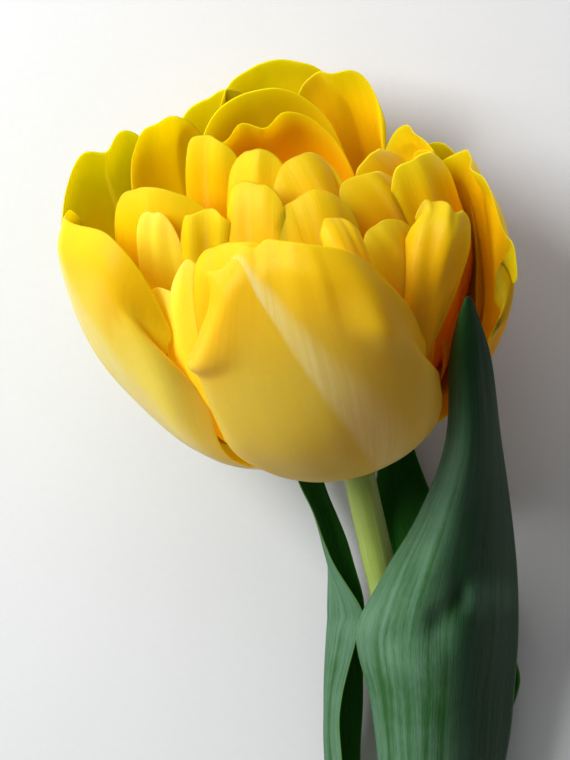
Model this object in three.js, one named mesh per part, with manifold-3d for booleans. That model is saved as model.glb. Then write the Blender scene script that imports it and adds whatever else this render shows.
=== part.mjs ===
// A cut double early tulip lying on a flat surface: one full yellow bloom on a bent stem with three
// clasping leaves.
// Millimetres, +Z up. The surface is z = 0. The origin is the flat spot on which the bloom rests.
// The stem runs along -Y to its cut end, and the bloom looks up and back along +Y.
import * as THREE from "three";
import { mergeVertices } from "three/addons/utils/BufferGeometryUtils.js";
import Module from "manifold-3d";

const wasm = await Module();
wasm.setup();

// Driving dimensions
const NECK = new THREE.Vector3(7.4, -33.2, 22); // where the stem ends under the bloom
const TILT = 26; // degrees that the bloom's axis rises above the surface
const LEAN = 14; // degrees that it leans to the left of +Y
const CLEARANCE = 0.3; // between pieces that touch
const PETAL_THICKNESS = 0.8;
const LEAF_THICKNESS = 0.9;
const NECK_RADIUS = 3.05; // stem radius under the bloom
const CUT_RADIUS = 3.5; // stem radius at the cut end
const RECEPTACLE_RADIUS = 8.5;
const RECEPTACLE_HEIGHT = 19;

const rad = THREE.MathUtils.degToRad;
const { smoothstep, lerp } = THREE.MathUtils;

// The bloom's own directions: along its axis, to its front and to its right
const AXIS = new THREE.Vector3(
  -Math.sin(rad(LEAN)) * Math.cos(rad(TILT)),
  Math.cos(rad(LEAN)) * Math.cos(rad(TILT)),
  Math.sin(rad(TILT)),
);
const RIGHT = new THREE.Vector3(Math.cos(rad(LEAN)), Math.sin(rad(LEAN)), 0);
const FRONT = new THREE.Vector3().crossVectors(RIGHT, AXIS);

// The petals, outermost first. turn: degrees round the axis from the front, positive to the right.
// reach and rise: how far from the axis and how high above the neck the middle of the top edge is.
// belly: how far out the blade swings. curl: degrees that the tip turns out, negative in.
// cup: radius of the cross curve. face: degrees that the blade is twisted to the right as it rises.
// lean: degrees that it leans to its right. apex: where across the top edge is highest.
// blunt: how square the top is, 2 for a round one. taper: share of the width lost towards the top.
// wave: height of the ruffles along the margin. notch: depth of the notch in the tip.
// lobes: outward steps of a margin, each with its side, height up it, length and size.
// crown: rises of the top edge, each with its place across it, width and size.
const PLAIN = {
  face: 0, lean: 0, apex: 0, blunt: 2.2, taper: 0.1, wave: 0.6, notch: 0, lobes: [], crown: [],
};
const PETALS = [
  {
    turn: -8, reach: 32, rise: 60.5, belly: 40, width: 54, curl: -16, cup: 28,
    apex: -0.35, taper: 0.3, wave: 1.2, notch: 0.5,
    lobes: [[-1, 0.93, 0.12, -3], [1, 0.95, 0.13, 6]], crown: [[-0.75, 0.3, -3]],
  },
  {
    turn: -86, reach: 42, rise: 61, belly: 42, width: 48, curl: -8, cup: 21,
    face: 18, blunt: 3, wave: 0.8, notch: 0.5,
  },
  {
    turn: -127, reach: 43, rise: 66, belly: 40, width: 48, curl: 4, cup: 34,
    face: -16, apex: -0.1, wave: 0.8, notch: 2.6,
    lobes: [[1, 0.85, 0.2, 3.5], [-1, 0.95, 0.3, -7]],
  },
  { turn: 177, reach: 40.5, rise: 68, belly: 46, width: 38, curl: -4, cup: 30, wave: 0.8, notch: 0.5 },
  { turn: 126, reach: 37, rise: 51.5, belly: 38, width: 44, curl: -2, cup: 26, wave: 1.4, notch: 0.8 },
  {
    turn: 92, reach: 37, rise: 53, belly: 34, width: 46, curl: 6, cup: 26,
    face: 20, wave: 2.2, notch: 0.8,
    lobes: [[-1, 0.7, 0.1, 1.5]], crown: [[-1, 0.14, 5]],
  },
  {
    turn: 46, reach: 24.5, rise: 50, belly: 18, width: 19, curl: -18, cup: 22,
    face: -3, lean: 27, wave: 1.4, notch: 0.8,
  },
  { turn: 162, reach: 37, rise: 63.5, belly: 35, width: 34, curl: -10, cup: 22, wave: 1, notch: 0.5 },
  { turn: -175, reach: 27, rise: 67, belly: 31, width: 38, curl: -22, cup: 26, wave: 0.8, notch: 0.8 },
  { turn: -164, reach: 39, rise: 64.5, belly: 38, width: 26, curl: -4, cup: 26 },
  { turn: -147, reach: 35.5, rise: 65, belly: 34, width: 36, curl: -12, cup: 24 },
  { turn: -88, reach: 28, rise: 62.5, belly: 32, width: 33, curl: -8, cup: 20, face: 50, wave: 0.7 },
  { turn: -56, reach: 26, rise: 54.5, belly: 31, width: 30, curl: -10, cup: 16, face: 15, wave: 0.7 },
  {
    turn: -32, reach: 27, rise: 59, belly: 32, width: 32, curl: -24, cup: 18, wave: 0.7,
    crown: [[0.4, 0.22, 3]],
  },
  {
    turn: 108, reach: 30, rise: 53, belly: 27, width: 28, curl: -12, cup: 20,
    face: -12, wave: 1, notch: 0.5,
  },
  {
    turn: -172, reach: 18.5, rise: 65.5, belly: 27, width: 40, curl: -26, cup: 26,
    apex: 0.1, wave: 0.8, notch: 1,
  },
  {
    turn: -76, reach: 26, rise: 60, belly: 28, width: 17, curl: -12, cup: 14,
    face: 35, taper: 0.2, wave: 0.5,
  },
  { turn: -66, reach: 32, rise: 47, belly: 34, width: 24, curl: -5, cup: 16, face: 10, wave: 0.4 },
  { turn: 14, reach: 23.5, rise: 58.3, belly: 27, width: 9, curl: -60, cup: 5, taper: 0, wave: 0.2 },
  { turn: 40, reach: 22, rise: 52.5, belly: 29, width: 15.5, curl: -38, cup: 13, face: -8, taper: 0 },
  { turn: -58, reach: 20, rise: 61.5, belly: 26, width: 20, curl: -12, cup: 15, face: 25 },
  { turn: 8, reach: 14.5, rise: 61.5, belly: 24, width: 18, curl: -42, cup: 18, taper: 0 },
  { turn: 74, reach: 24.5, rise: 59, belly: 21, width: 17, curl: -14, cup: 16, face: -45 },
  { turn: 122, reach: 31, rise: 55, belly: 25, width: 30, curl: -16, cup: 16, face: -10, wave: 0.8 },
  {
    turn: 92, reach: 26.5, rise: 51.5, belly: 25, width: 19, curl: -24, cup: 13,
    face: -40, taper: 0, wave: 0.4,
  },
  { turn: -31, reach: 13.5, rise: 64, belly: 21, width: 13.5, curl: -38, cup: 11, taper: 0, wave: 0.5 },
  {
    turn: 62, reach: 14.5, rise: 58.5, belly: 22, width: 18.5, curl: -40, cup: 16,
    face: -35, apex: -0.3, taper: 0,
  },
  {
    turn: 98, reach: 16.5, rise: 58, belly: 20, width: 17, curl: -30, cup: 14,
    face: -50, taper: 0, wave: 0.5,
  },
  {
    turn: -114, reach: 14, rise: 68, belly: 22, width: 15.5, curl: -15, cup: 15,
    face: 65, blunt: 1.9, taper: 0, wave: 0.5,
  },
  {
    turn: -48, reach: 6.4, rise: 67.2, belly: 16, width: 12.5, curl: -45, cup: 10,
    face: 10, taper: 0, wave: 0.5,
  },
  {
    turn: 25, reach: 7, rise: 65, belly: 15, width: 17, curl: -45, cup: 9,
    apex: -0.3, taper: 0, wave: 0.5, notch: 0.4,
  },
].map((petal) => ({ ...PLAIN, ...petal }));
const LARGE = 6; // how many of them are large, and then how many are of middle size
const MIDDLE = 10;
const LIP = 2.4; // how far a margin rolls in
const SMALL_LIP = 1.3; // the same on the small petals
const LIP_REACH = 7; // how far from the margin the roll starts
const ROOT_OUT = [5.8, 1.8]; // how far from the axis the outermost and the innermost petal are rooted
const ROOT_UP = [1.6, 6.6]; // how high above the neck they are rooted
const TIP_PULL = 0.36; // how far below its tip a petal starts to curl, as a share of its rise
const WIDEST = 0.72; // how far up a petal reaches its full width
const NOTCH_WIDTH = 0.14; // as a share of half the petal
const RUFFLES = 4; // round a petal's margin, to the radian
const SWEEP = 0.6; // share of a petal's lean by which its middle bows aside

// How many columns and rows of facets the pieces have
const LARGE_GRID = [8, 7];
const MIDDLE_GRID = [4, 5];
const SMALL_GRID = [4, 4];
const LEAF_GRID = [8, 16];
const STEM_SIDES = 12;
const STEM_RINGS = 22;
const RECEPTACLE_SIDES = 14;

// The middle of the stem, from the neck to the cut end
const STEM = [
  [8.5, -37.6, 19.8],
  [12.6, -55, 14],
  [14.3, -62.4, 11.8],
  [17.4, -83.5, 8.8],
  [18.8, -96, 7.4],
  [20.2, -120, 6.4],
  [20.6, -144, 5.8],
  [20.2, -166, 5.2],
  [19.5, -182, 4.7],
  [18.6, -224, 3.5],
];

// Each leaf from its clasping base to its tip: the left margin, keel and right margin at each station
const LEAVES = {
  leaf_front: {
    wave: 0.9,
    waves: 3.5,
    stations: [
      [[18.9, -166, 9.4], [23.2, -166, 8.6], [25.3, -166, 4.2]],
      [[17.6, -144, 11], [23.6, -143, 12.5], [28.5, -144, 6]],
      [[14.3, -114.7, 12], [23.4, -113.4, 19], [33.9, -115.4, 8]],
      [[12.7, -94.8, 13], [22.8, -93.4, 23], [38.1, -95.2, 10]],
      [[11.1, -82.9, 13.5], [22.6, -81.4, 26], [39.6, -83.2, 11.5]],
      [[8.3, -69.5, 14], [22.8, -69.6, 29], [40.5, -71.2, 13]],
      [[13.1, -59, 18], [24.2, -58, 32], [39.9, -59.1, 17]],
      [[19.4, -46.9, 26], [27, -46, 37], [38.2, -47, 25]],
      [[24.1, -31.3, 41], [29, -31.2, 46], [35.1, -31.4, 38.8]],
      [[24.6, -16.7, 50], [27.9, -16, 54], [32.3, -16.6, 49.3]],
      [[25.7, -9.3, 54], [27.6, -9, 56.5], [29.8, -9.3, 54]],
      [[27, -5.2, 58], [27.4, -4.8, 58.5], [27.9, -5.2, 58]],
    ],
  },
  leaf_left: {
    wave: 0.5,
    waves: 3,
    stations: [
      [[17.8, -182, 9.4], [14.4, -182, 4.9], [17.8, -182, 0.5]],
      [[12.6, -150, 10.6], [9.8, -150, 4.9], [13.5, -150, 0.9]],
      [[8.4, -120, 11.6], [5.2, -120, 5], [10.4, -120, 1.2]],
      [[5.8, -94.9, 12], [2.8, -95.9, 5], [9.5, -96.4, 1.5]],
      [[5.8, -83, 12.5], [2.8, -83.8, 6], [9.9, -84.3, 2]],
      [[8.4, -70.6, 13], [3, -70.8, 6.5], [10.2, -72.1, 3]],
      [[9.6, -65.3, 13], [3.2, -65.4, 7], [10.6, -64.4, 5]],
      [[4.1, -55.5, 11.5], [3.4, -55.8, 7], [7.8, -56, 5]],
      [[0.1, -46.7, 10], [2.2, -47.9, 6], [5, -47.6, 4.5]],
      [[-3.2, -40.2, 8.5], [-0.8, -39.6, 5], [2.2, -39.4, 4]],
      [[-5.8, -30, 7], [-3.4, -30, 4], [-0.2, -29.6, 4]],
      [[-5.2, -23.6, 4], [-4.6, -23, 3.6], [-4, -23.6, 4]],
    ],
  },
  leaf_back: {
    wave: 0.9,
    waves: 3,
    stations: [
      [[16, -150, 4.8], [20.4, -150, 0.5], [25.1, -150, 4.4]],
      [[15, -120, 3.2], [22.4, -120, 0.6], [30, -120, 4.5]],
      [[14.7, -96.3, 2], [24.6, -96.5, 0.6], [35.1, -96.2, 3]],
      [[14.3, -84.3, 2.2], [24.6, -84.4, 0.5], [40.6, -84, 4.5]],
      [[13.9, -77.2, 2.6], [23.6, -77.4, 0.5], [41, -76.9, 5]],
      [[13, -66.1, 3.2], [21.6, -66.3, 1], [35.3, -65.9, 5.5]],
      [[11.8, -54, 5], [18.5, -54.2, 1.5], [28.3, -53.9, 5.5]],
      [[12.1, -41.9, 8], [16.3, -42.1, 2], [23.4, -42, 5]],
      [[13.7, -32, 6], [16.7, -32, 2.5], [19.8, -31.4, 4]],
      [[16.7, -25.4, 3], [17.3, -24.8, 2.6], [17.9, -25.4, 3]],
    ],
  },
};

// The direction away from the bloom's axis at an angle from its front
function outward(angle) {
  return FRONT.clone().multiplyScalar(Math.cos(angle)).addScaledVector(RIGHT, Math.sin(angle));
}

// A bell of height 1 at offset 0
const hill = (offset, width) => Math.exp(-((offset / width) ** 2));

// The middle surface of a petal as a function of u, -1 to 1 across it, and v, 0 to 1 from root to tip
function petalSurface(petal, index) {
  const rootOut = lerp(...ROOT_OUT, index / PETALS.length);
  const rootUp = lerp(...ROOT_UP, index / PETALS.length);
  const curl = rad(petal.curl);
  const tipPull = TIP_PULL * petal.rise;
  const midline = new THREE.CubicBezierCurve(
    new THREE.Vector2(rootOut, rootUp),
    new THREE.Vector2(petal.belly, rootUp + 1),
    new THREE.Vector2(
      petal.reach - tipPull * Math.sin(curl),
      petal.rise - tipPull * Math.cos(curl),
    ),
    new THREE.Vector2(petal.reach, petal.rise),
  );
  const angle = rad(petal.turn);
  const phase = index * 2.4;
  const roundness = (0.5 * petal.width) / petal.rise;
  const lip = index < LARGE + MIDDLE ? LIP : SMALL_LIP;
  return (u, v) => {
    const fromApex = Math.abs((u - petal.apex) / (1 + Math.abs(petal.apex)));
    const arch = (1 - 0.99 * fromApex ** petal.blunt) ** (1 / petal.blunt);
    let tip = 1 - roundness * (1 - arch) - (petal.notch / petal.rise) * hill(u, NOTCH_WIDTH);
    for (const [place, width, size] of petal.crown) tip += (size / petal.rise) * hill(u - place, width);
    const s = Math.min(1, v * tip);
    const on = midline.getPoint(s);
    const along = midline.getTangent(Math.max(s, 0.001));
    const fill = Math.sin((Math.PI / 2) * Math.min(1, (v + 0.02) / WIDEST)) ** 0.9;
    let half = (petal.width / 2) * lerp(0.1, 1, fill) * (1 - petal.taper * smoothstep(v, 0.6, 1));
    for (const [side, height, length, size] of petal.lobes)
      if (side * u > 0) half += size * hill(v - height, length) * Math.abs(u);
    const radius = Math.max(petal.cup, half * 0.85);
    const bend = (u * half) / radius;
    const margin = Math.max(Math.abs(u) ** 3, smoothstep(v, WIDEST, 1) * 0.8);
    const around = Math.atan2(u, v - 0.4);
    const ruffle = petal.wave * margin * Math.sin(RUFFLES * around + phase) * smoothstep(v, 0.15, 0.6);
    const facing = outward(angle + rad(petal.face) * smoothstep(v, 0, 0.7));
    const normal = facing.clone().multiplyScalar(along.y).addScaledVector(AXIS, -along.x);
    const rising = facing.clone().multiplyScalar(along.x).addScaledVector(AXIS, along.y);
    const across = AXIS.clone().cross(facing);
    const toMargin = Math.min((1 - Math.abs(u)) * half, (1 - v) * petal.rise);
    const roll = lip * (1 - smoothstep(toMargin, 0, LIP_REACH)) ** 2 * smoothstep(v, 0.3, 0.7);
    const aside = radius * Math.sin(bend);
    const lean = rad(petal.lean) * s;
    const sway = SWEEP * petal.rise * Math.tan(rad(petal.lean)) * s * s;
    return NECK.clone()
      .addScaledVector(outward(angle), on.x)
      .addScaledVector(AXIS, on.y)
      .addScaledVector(across, aside * Math.cos(lean) + sway - roll * Math.sin(bend))
      .addScaledVector(rising, -aside * Math.sin(lean))
      .addScaledVector(normal, radius * (Math.cos(bend) - 1) + ruffle - roll * Math.cos(bend));
  };
}

// The middle surface of a leaf as a function of u, -1 to 1 from its left to its right margin, and v,
// 0 to 1 from base to tip
function leafSurface({ stations, wave, waves }) {
  const [left, keel, right] = [0, 1, 2].map((side) => smooth(stations.map((station) => station[side])));
  return (u, v) => {
    const [a, k, b] = [left, keel, right].map((curve) => curve.getPoint(v));
    const half = b.clone().sub(a).multiplyScalar(0.5);
    const rise = a.clone().add(b).multiplyScalar(0.5).sub(k);
    const along = keel.getTangent(Math.min(Math.max(v, 0.001), 0.999));
    const out = half.clone().cross(along).normalize();
    const fade = smoothstep(v, 0.15, 0.4) * (1 - smoothstep(v, 0.85, 1));
    const ripple = wave * u * u * Math.sin(2 * Math.PI * waves * v + 1.3 * Math.sign(u)) * fade;
    return k.addScaledVector(half, u).addScaledVector(rise, u * u).addScaledVector(out, ripple);
  };
}

function smooth(points) {
  return new THREE.CatmullRomCurve3(points.map((p) => new THREE.Vector3(...p)), false, "catmullrom", 0.5);
}

// A closed round bar along a curve
function rod(curve, startRadius, endRadius, sides, rings) {
  const points = [];
  for (let i = 0; i <= rings; i++) {
    const t = i / rings;
    const middle = curve.getPoint(t);
    const along = curve.getTangent(t);
    const aside = new THREE.Vector3(0, 0, 1).cross(along).normalize();
    const up = along.clone().cross(aside);
    const radius = lerp(startRadius, endRadius, t);
    for (let j = 0; j < sides; j++) {
      const angle = (2 * Math.PI * j) / sides;
      const point = middle.clone().addScaledVector(aside, radius * Math.cos(angle));
      point.addScaledVector(up, radius * Math.sin(angle));
      point.z = Math.max(point.z, 0);
      points.push(point.x, point.y, point.z);
    }
  }
  const faces = [];
  for (let i = 0; i < rings; i++)
    for (let j = 0; j < sides; j++) {
      const [a, b] = [i * sides + j, i * sides + ((j + 1) % sides)];
      faces.push(a, b, b + sides, a, b + sides, a + sides);
    }
  const last = rings * sides;
  for (let j = 1; j < sides - 1; j++) faces.push(0, j + 1, j, last, last + j, last + j + 1);
  return new THREE.BufferGeometry()
    .setAttribute("position", new THREE.Float32BufferAttribute(points, 3))
    .setIndex(faces);
}

// A closed thin solid round a middle surface, with both faces split into triangles alike. Its columns
// stand closer together towards the margins where it is rounded. Nothing goes below z = 0.
function blade(surface, columns, rows, thickness, rounded) {
  const step = 1e-3;
  const sides = [[], []];
  for (let i = 0; i <= rows; i++)
    for (let j = 0; j <= columns; j++) {
      const x = -1 + (2 * j) / columns;
      const u = rounded ? Math.sin((Math.PI / 2) * x) : x;
      const v = i / rows;
      const at = surface(u, v);
      const across = surface(Math.min(u + step, 1), v).sub(surface(Math.max(u - step, -1), v));
      const along = surface(u, Math.min(v + step, 1)).sub(surface(u, Math.max(v - step, 0)));
      const normal = across.cross(along).normalize();
      sides.forEach((side, k) => {
        const point = at.clone().addScaledVector(normal, (k ? 0.5 : -0.5) * thickness);
        const lowest = normal.z > 0 === (k === 1) ? thickness : 0;
        point.z = Math.max(point.z, lowest);
        side.push(point);
      });
    }
  const count = (rows + 1) * (columns + 1);
  const at = (i, j, k) => k * count + i * (columns + 1) + j;
  const faces = [];
  const quad = (a, b, c, d) => faces.push(a, b, c, a, c, d);
  for (let i = 0; i < rows; i++)
    for (let j = 0; j < columns; j++) {
      quad(at(i, j, 1), at(i, j + 1, 1), at(i + 1, j + 1, 1), at(i + 1, j, 1));
      faces.push(at(i, j, 0), at(i + 1, j + 1, 0), at(i, j + 1, 0));
      faces.push(at(i, j, 0), at(i + 1, j, 0), at(i + 1, j + 1, 0));
    }
  for (let i = 0; i < rows; i++) {
    quad(at(i, 0, 0), at(i, 0, 1), at(i + 1, 0, 1), at(i + 1, 0, 0));
    quad(at(i, columns, 1), at(i, columns, 0), at(i + 1, columns, 0), at(i + 1, columns, 1));
  }
  for (let j = 0; j < columns; j++) {
    quad(at(0, j, 0), at(0, j + 1, 0), at(0, j + 1, 1), at(0, j, 1));
    quad(at(rows, j, 1), at(rows, j + 1, 1), at(rows, j + 1, 0), at(rows, j, 0));
  }
  return new THREE.BufferGeometry()
    .setAttribute("position", new THREE.Float32BufferAttribute(sides.flat().flatMap((p) => p.toArray()), 3))
    .setIndex(faces);
}

// Boolean helpers
function solid(geometry) {
  const bare = new THREE.BufferGeometry().setAttribute("position", geometry.getAttribute("position"));
  bare.setIndex(geometry.index);
  const merged = mergeVertices(bare, 1e-4);
  return new wasm.Manifold(
    new wasm.Mesh({
      numProp: 3,
      vertProperties: merged.attributes.position.array,
      triVerts: new Uint32Array(merged.index.array),
    }),
  );
}

function geometryOf(manifold) {
  const outside = manifold.decompose().sort((a, b) => b.volume() - a.volume())[0];
  const { vertProperties, triVerts } = outside.getMesh();
  return new THREE.BufferGeometry()
    .setAttribute("position", new THREE.BufferAttribute(vertProperties, 3))
    .setIndex(new THREE.BufferAttribute(triVerts, 1));
}

// A turned solid that stands on the bloom's axis
function turned(profile, sides) {
  const points = profile.map(([x, y]) => new THREE.Vector2(x, y));
  const upright = new THREE.LatheGeometry(points, sides);
  const turn = new THREE.Quaternion().setFromUnitVectors(new THREE.Vector3(0, 1, 0), AXIS);
  return upright.applyQuaternion(turn).translate(NECK.x, NECK.y, NECK.z);
}

function bloom() {
  const receptacle = turned(
    [
      [0, CLEARANCE],
      [NECK_RADIUS + 0.2, CLEARANCE],
      [RECEPTACLE_RADIUS - 1, 3],
      [RECEPTACLE_RADIUS, 8],
      [RECEPTACLE_RADIUS - 2, 0.75 * RECEPTACLE_HEIGHT],
      [0, RECEPTACLE_HEIGHT],
    ],
    RECEPTACLE_SIDES,
  );
  const solids = [solid(receptacle)];
  PETALS.forEach((petal, index) => {
    const inner = index < LARGE + MIDDLE ? MIDDLE_GRID : SMALL_GRID;
    const grid = index < LARGE ? LARGE_GRID : inner;
    solids.push(solid(blade(petalSurface(petal, index), ...grid, PETAL_THICKNESS, true)));
  });
  return geometryOf(wasm.Manifold.union(solids));
}

const root = new THREE.Group();
function add(name, geometry, colour, roughness) {
  const material = new THREE.MeshStandardMaterial({ color: colour, roughness, metalness: 0 });
  const mesh = new THREE.Mesh(geometry, material);
  mesh.name = name;
  root.add(mesh);
}

add("bloom", bloom(), 0xf5c400, 0.55);
const middle = smooth([NECK.toArray(), ...STEM]);
add("stem", rod(middle, NECK_RADIUS, CUT_RADIUS, STEM_SIDES, STEM_RINGS), 0xb4bf5e, 0.5);
for (const [name, leaf] of Object.entries(LEAVES))
  add(name, blade(leafSurface(leaf), ...LEAF_GRID, LEAF_THICKNESS, false), 0x70906a, 0.5);

export default root;
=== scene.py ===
"""Dresses a cut double early tulip: one full yellow bloom on a bent stem with three clasping leaves.

The flower lies on a pale surface, z = 0, and the camera looks down on it. Sizes in the classes are
millimetres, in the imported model's own frame, and each mesh is made in metres.
"""

import logging
import math
from dataclasses import dataclass
from enum import Enum
from typing import Callable

import bmesh
import bpy
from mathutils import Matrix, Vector, noise


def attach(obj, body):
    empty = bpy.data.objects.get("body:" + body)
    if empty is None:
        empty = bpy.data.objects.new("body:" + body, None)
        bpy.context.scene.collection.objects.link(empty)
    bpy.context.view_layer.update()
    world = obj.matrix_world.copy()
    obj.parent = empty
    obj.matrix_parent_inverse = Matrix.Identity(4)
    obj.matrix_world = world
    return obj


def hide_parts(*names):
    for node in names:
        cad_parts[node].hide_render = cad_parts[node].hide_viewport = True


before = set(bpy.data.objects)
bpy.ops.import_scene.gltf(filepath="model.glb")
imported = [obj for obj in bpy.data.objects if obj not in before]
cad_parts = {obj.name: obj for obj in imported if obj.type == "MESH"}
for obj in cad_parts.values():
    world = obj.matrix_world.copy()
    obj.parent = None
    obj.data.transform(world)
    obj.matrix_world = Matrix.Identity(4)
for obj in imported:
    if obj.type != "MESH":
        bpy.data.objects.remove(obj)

LOG = logging.getLogger("tulip")
MM = 0.001
WELD = 0.01 * MM  # points that lie closer than this are merged
CURVE_STEP = 0.001  # share of a curve over which its direction is taken
PHASE_STEP = 2.4  # between one petal's ruffles and the next one's
SEED_STEP = 3.7  # between one petal's seed and the next one's

# The bloom's own directions, from where the stem meets it
NECK = Vector((7.4, -33.2, 22.0))
TILT = math.radians(26)  # how far the bloom's axis rises from the surface
LEAN = math.radians(14)  # how far it leans to the left
AXIS = Vector(
    (-math.sin(LEAN) * math.cos(TILT), math.cos(LEAN) * math.cos(TILT), math.sin(TILT))
)
RIGHT = Vector((math.cos(LEAN), math.sin(LEAN), 0.0))
FRONT = RIGHT.cross(AXIS)

Colour = tuple[float, float, float]
Point = tuple[float, float, float]
Flat = tuple[float, float]
Place = Callable[[float, float], Vector]


def lerp(start: float, end: float, share: float) -> float:
    """The number that lies a share of the way from start to end."""
    return start + (end - start) * share


def ease(value: float, low: float, high: float) -> float:
    """A smooth step from 0 at low to 1 at high."""
    share = min(1.0, max(0.0, (value - low) / (high - low)))
    return share * share * (3 - 2 * share)


def hill(offset: float, width: float) -> float:
    """A bell of height 1 at offset 0."""
    return math.exp(-((offset / width) ** 2))


def drift(x: float, y: float, z: float) -> float:
    """Smooth noise between about -1 and 1."""
    return noise.noise(Vector((x, y, z)))


def outward(angle: float) -> Vector:
    """The direction away from the bloom's axis at an angle from its front."""
    return FRONT * math.cos(angle) + RIGHT * math.sin(angle)


def along_curve(points: list[Vector], share: float) -> Vector:
    """A point of the smooth curve through the points.

    Args:
        points: what the curve passes through, evenly spaced in share.
        share: 0 at the first point, 1 at the last.

    Returns:
        The point.
    """
    last = len(points) - 1
    step = min(int(share * last), last - 1)
    part = share * last - step
    before = points[step - 1] if step > 0 else points[0] * 2 - points[1]
    after = points[step + 2] if step + 2 <= last else points[last] * 2 - points[last - 1]
    here, there = points[step], points[step + 1]
    leave, arrive = (there - before) * 0.5, (after - here) * 0.5
    return (
        (here * 2 - there * 2 + leave + arrive) * part**3
        + (there * 3 - here * 3 - leave * 2 - arrive) * part**2
        + leave * part
        + here
    )


def heading(points: list[Vector], share: float) -> Vector:
    """The direction, of no set length, in which that curve runs."""
    ahead, behind = min(1.0, share + CURVE_STEP), max(0.0, share - CURVE_STEP)
    return along_curve(points, ahead) - along_curve(points, behind)


def bezier(points: tuple[Flat, ...], share: float) -> tuple[Flat, Flat]:
    """A point of a flat cubic curve, and the direction, of length 1, in which the curve runs there.

    Args:
        points: the curve's four control points.
        share: 0 at the first, 1 at the last.

    Returns:
        The point and the direction.
    """
    rest = 1 - share
    weights = (rest**3, 3 * rest * rest * share, 3 * rest * share * share, share**3)
    slopes = (3 * rest * rest, 6 * rest * share, 3 * share * share)
    x, y = (sum(w * p[i] for w, p in zip(weights, points)) for i in (0, 1))
    dx, dy = (sum(w * (b[i] - a[i]) for w, a, b in zip(slopes, points, points[1:])) for i in (0, 1))
    length = math.hypot(dx, dy)
    return (x, y), (dx / length, dy / length)


# Materials

BLACK: Colour = (0.0, 0.0, 0.0)


def arithmetic(operation: str, reflected: bool = False) -> "Callable[[Wire, Wire | float], Wire]":
    """An operator of Wire that adds a Math node.

    Args:
        operation: the Math node's operation.
        reflected: True where the wire is the second of the two values.

    Returns:
        The method.
    """

    def method(wire: "Wire", other: "Wire | float") -> "Wire":
        """The result of the operation on the wire and the other value."""
        values = (other, wire) if reflected else (wire, other)
        return wire.maths(operation, *values)

    return method


class Wire:
    """An output socket that takes part in arithmetic: each expression adds its Math node."""

    def __init__(self, recipe: "Recipe", socket: bpy.types.NodeSocket) -> None:
        """Keeps the socket and the recipe that it belongs to."""
        self.recipe = recipe
        self.socket = socket

    def maths(self, operation: str, *values: "Wire | float") -> "Wire":
        """A Math node with this operation on the values, in order."""
        return self.recipe.node("ShaderNodeMath", {"operation": operation}, dict(enumerate(values)))

    def __abs__(self) -> "Wire":
        """The value without its sign."""
        return self.maths("ABSOLUTE", self)

    __add__, __radd__ = arithmetic("ADD"), arithmetic("ADD", reflected=True)
    __sub__, __rsub__ = arithmetic("SUBTRACT"), arithmetic("SUBTRACT", reflected=True)
    __mul__, __rmul__ = arithmetic("MULTIPLY"), arithmetic("MULTIPLY", reflected=True)
    __truediv__, __rtruediv__ = arithmetic("DIVIDE"), arithmetic("DIVIDE", reflected=True)
    __pow__, __rpow__ = arithmetic("POWER"), arithmetic("POWER", reflected=True)


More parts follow.
